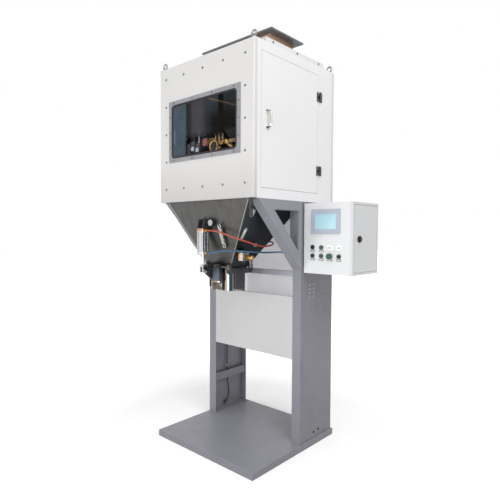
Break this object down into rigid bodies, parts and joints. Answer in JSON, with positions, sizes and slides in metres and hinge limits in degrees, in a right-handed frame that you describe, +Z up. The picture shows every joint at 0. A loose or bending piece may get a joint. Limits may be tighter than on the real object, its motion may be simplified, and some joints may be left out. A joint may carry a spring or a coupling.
{
  "type": "weighing bagging machine",
  "caption": "Weighing bagging machine with glazed weigh cabinet over a tapered discharge hopper, bag clamp, control box and open column stand.",
  "frame": {"origin": "centre of the base plate's underside", "axes": "+Z up, -Y to the front where the window is, +X to the right where the control box is"},
  "size_m": [1.1832, 0.81, 2.57],
  "materials": {
    "frame_paint": "satin",
    "box_paint": "satin",
    "panel_paint": "satin",
    "cabinet_paint": "satin",
    "black_metal": "satin",
    "screw_steel": "satin",
    "window_trim": "satin",
    "black_rubber": "matte",
    "dark_glass": "gloss",
    "chrome": "gloss",
    "stainless": "satin",
    "clamp_paint": "satin",
    "cylinder_body": "satin",
    "rod_chrome": "gloss",
    "brass": "satin",
    "valve_body": "satin",
    "red_tube": "gloss",
    "blue_tube": "gloss",
    "cable_sheath": "matte",
    "plug_plastic": "matte",
    "inner_steel": "satin",
    "bezel_plastic": "matte",
    "screen_glass": "gloss",
    "bezel_chrome": "satin",
    "green_plastic": "gloss",
    "black_plastic": "gloss",
    "lamp_lens": "gloss",
    "valve_black": "matte"
  },
  "bodies": {
    "machine": {"base_plate": "frame_paint", "left_column": "frame_paint", "right_column": "frame_paint", "left_gusset": "frame_paint", "right_gusset": "frame_paint", "cross_rail": "frame_paint", "front_panel": "panel_paint", "back_panel": "panel_paint", "cabinet_shell": "cabinet_paint", "front_cover": "cabinet_paint", "rear_cover": "cabinet_paint", "cover_screws": "screw_steel", "window_frame": "window_trim", "window_gasket": "black_rubber", "window_glass": "dark_glass", "roof_lid": "cabinet_paint", "inlet_flange": "cabinet_paint", "lifting_eyes": "screw_steel", "hinge_leaves": "black_metal", "discharge_hopper": "stainless", "spout": "stainless", "jaw_side_plates": "clamp_paint", "jaw_cylinders": "cylinder_body", "cylinder_brackets": "clamp_paint", "hose_fittings": "brass", "air_valve": "valve_body", "red_hose": "red_tube", "blue_hose": "blue_tube", "column_cable": "cable_sheath", "cable_plug": "plug_plastic", "feed_chute": "inner_steel", "weigh_hoppers": "inner_steel", "flap_actuators": "valve_black", "load_cells": "cylinder_body", "weigh_beam": "clamp_paint", "valve_manifold": "valve_black", "control_box": "box_paint", "box_brackets": "box_paint", "panel_bezel": "bezel_plastic", "panel_screen": "screen_glass", "button_bezels": "bezel_chrome", "pilot_lamps": "lamp_lens"},
    "cabinet_door": {"cabinet_door": "cabinet_paint", "door_hinge_pins": "black_metal", "door_handle": "chrome"},
    "control_box_door": {"control_box_door": "box_paint"},
    "cam_lock": {"cam_lock": "black_plastic"},
    "front_jaw": {"front_jaw": "clamp_paint"},
    "rear_jaw": {"rear_jaw": "clamp_paint"},
    "front_rod": {"front_rod": "rod_chrome"},
    "rear_rod": {"rear_rod": "rod_chrome"},
    "left_flap": {"left_flap": "inner_steel"},
    "right_flap": {"right_flap": "inner_steel"},
    "feed_gate": {"feed_gate": "inner_steel"},
    "button_1": {"button_1": "black_plastic"},
    "button_2": {"button_2": "green_plastic"},
    "button_3": {"button_3": "green_plastic"},
    "button_4": {"button_4": "black_plastic"},
    "button_5": {"button_5": "black_plastic"},
    "button_6": {"button_6": "green_plastic"}
  },
  "joints": [
    {"name": "side_door", "type": "hinge", "parent": "machine", "child": "cabinet_door", "pos_m": [0.418, 0.222, 1.98], "axis": [0, 0, 1], "range_deg": [0, 120]},
    {"name": "box_door", "type": "hinge", "parent": "machine", "child": "control_box_door", "pos_m": [0.748, 0.348, 1.3265], "axis": [0, 0, 1], "range_deg": [0, 110]},
    {"name": "box_lock", "type": "hinge", "parent": "control_box_door", "child": "cam_lock", "pos_m": [0.751, 0.135, 1.324], "axis": [-1, 0, 0], "range_deg": [0, 90]},
    {"name": "front_jaw_swing", "type": "hinge", "parent": "machine", "child": "front_jaw", "pos_m": [0, -0.285, 1.15], "axis": [-1, 0, 0], "range_deg": [0, 30]},
    {"name": "front_rod_slide", "type": "slide", "parent": "machine", "child": "front_rod", "axis": [0, 0, 1], "range_m": [0, 0.04152]},
    {"name": "rear_jaw_swing", "type": "hinge", "parent": "machine", "child": "rear_jaw", "pos_m": [0, -0.089, 1.15], "axis": [1, 0, 0], "range_deg": [0, 30]},
    {"name": "rear_rod_slide", "type": "slide", "parent": "machine", "child": "rear_rod", "axis": [0, 0.517, 0.856], "range_m": [0, 0.04152]},
    {"name": "left_flap_swing", "type": "hinge", "parent": "machine", "child": "left_flap", "pos_m": [-0.1625, -0.033, 1.913], "axis": [1, 0, 0], "range_deg": [0, 75]},
    {"name": "right_flap_swing", "type": "hinge", "parent": "machine", "child": "right_flap", "pos_m": [0.1625, -0.033, 1.913], "axis": [1, 0, 0], "range_deg": [0, 75]},
    {"name": "feed_gate_swing", "type": "hinge", "parent": "machine", "child": "feed_gate", "pos_m": [0, -0.12, 2.3], "axis": [-1, 0, 0], "range_deg": [0, 95]},
    {"name": "button_1_press", "type": "slide", "parent": "machine", "child": "button_1", "axis": [0, 1, 0], "range_m": [0, 0.004], "stiffness_N_per_m": 400, "springref_m": -0.002},
    {"name": "button_2_press", "type": "slide", "parent": "machine", "child": "button_2", "axis": [0, 1, 0], "range_m": [0, 0.004], "stiffness_N_per_m": 400, "springref_m": -0.002},
    {"name": "button_3_press", "type": "slide", "parent": "machine", "child": "button_3", "axis": [0, 1, 0], "range_m": [0, 0.004], "stiffness_N_per_m": 400, "springref_m": -0.002},
    {"name": "button_4_press", "type": "slide", "parent": "machine", "child": "button_4", "axis": [0, 1, 0], "range_m": [0, 0.004], "stiffness_N_per_m": 400, "springref_m": -0.002},
    {"name": "button_5_press", "type": "slide", "parent": "machine", "child": "button_5", "axis": [0, 1, 0], "range_m": [0, 0.004], "stiffness_N_per_m": 400, "springref_m": -0.002},
    {"name": "button_6_press", "type": "slide", "parent": "machine", "child": "button_6", "axis": [0, 1, 0], "range_m": [0, 0.004], "stiffness_N_per_m": 400, "springref_m": -0.002}
  ],
  "couplings": [
    {"joint": "rear_jaw_swing", "follows": "front_jaw_swing", "ratio": 1},
    {"joint": "front_rod_slide", "follows": "front_jaw_swing", "m_per_rad": 0.078915},
    {"joint": "rear_rod_slide", "follows": "front_jaw_swing", "m_per_rad": 0.078915}
  ]
}
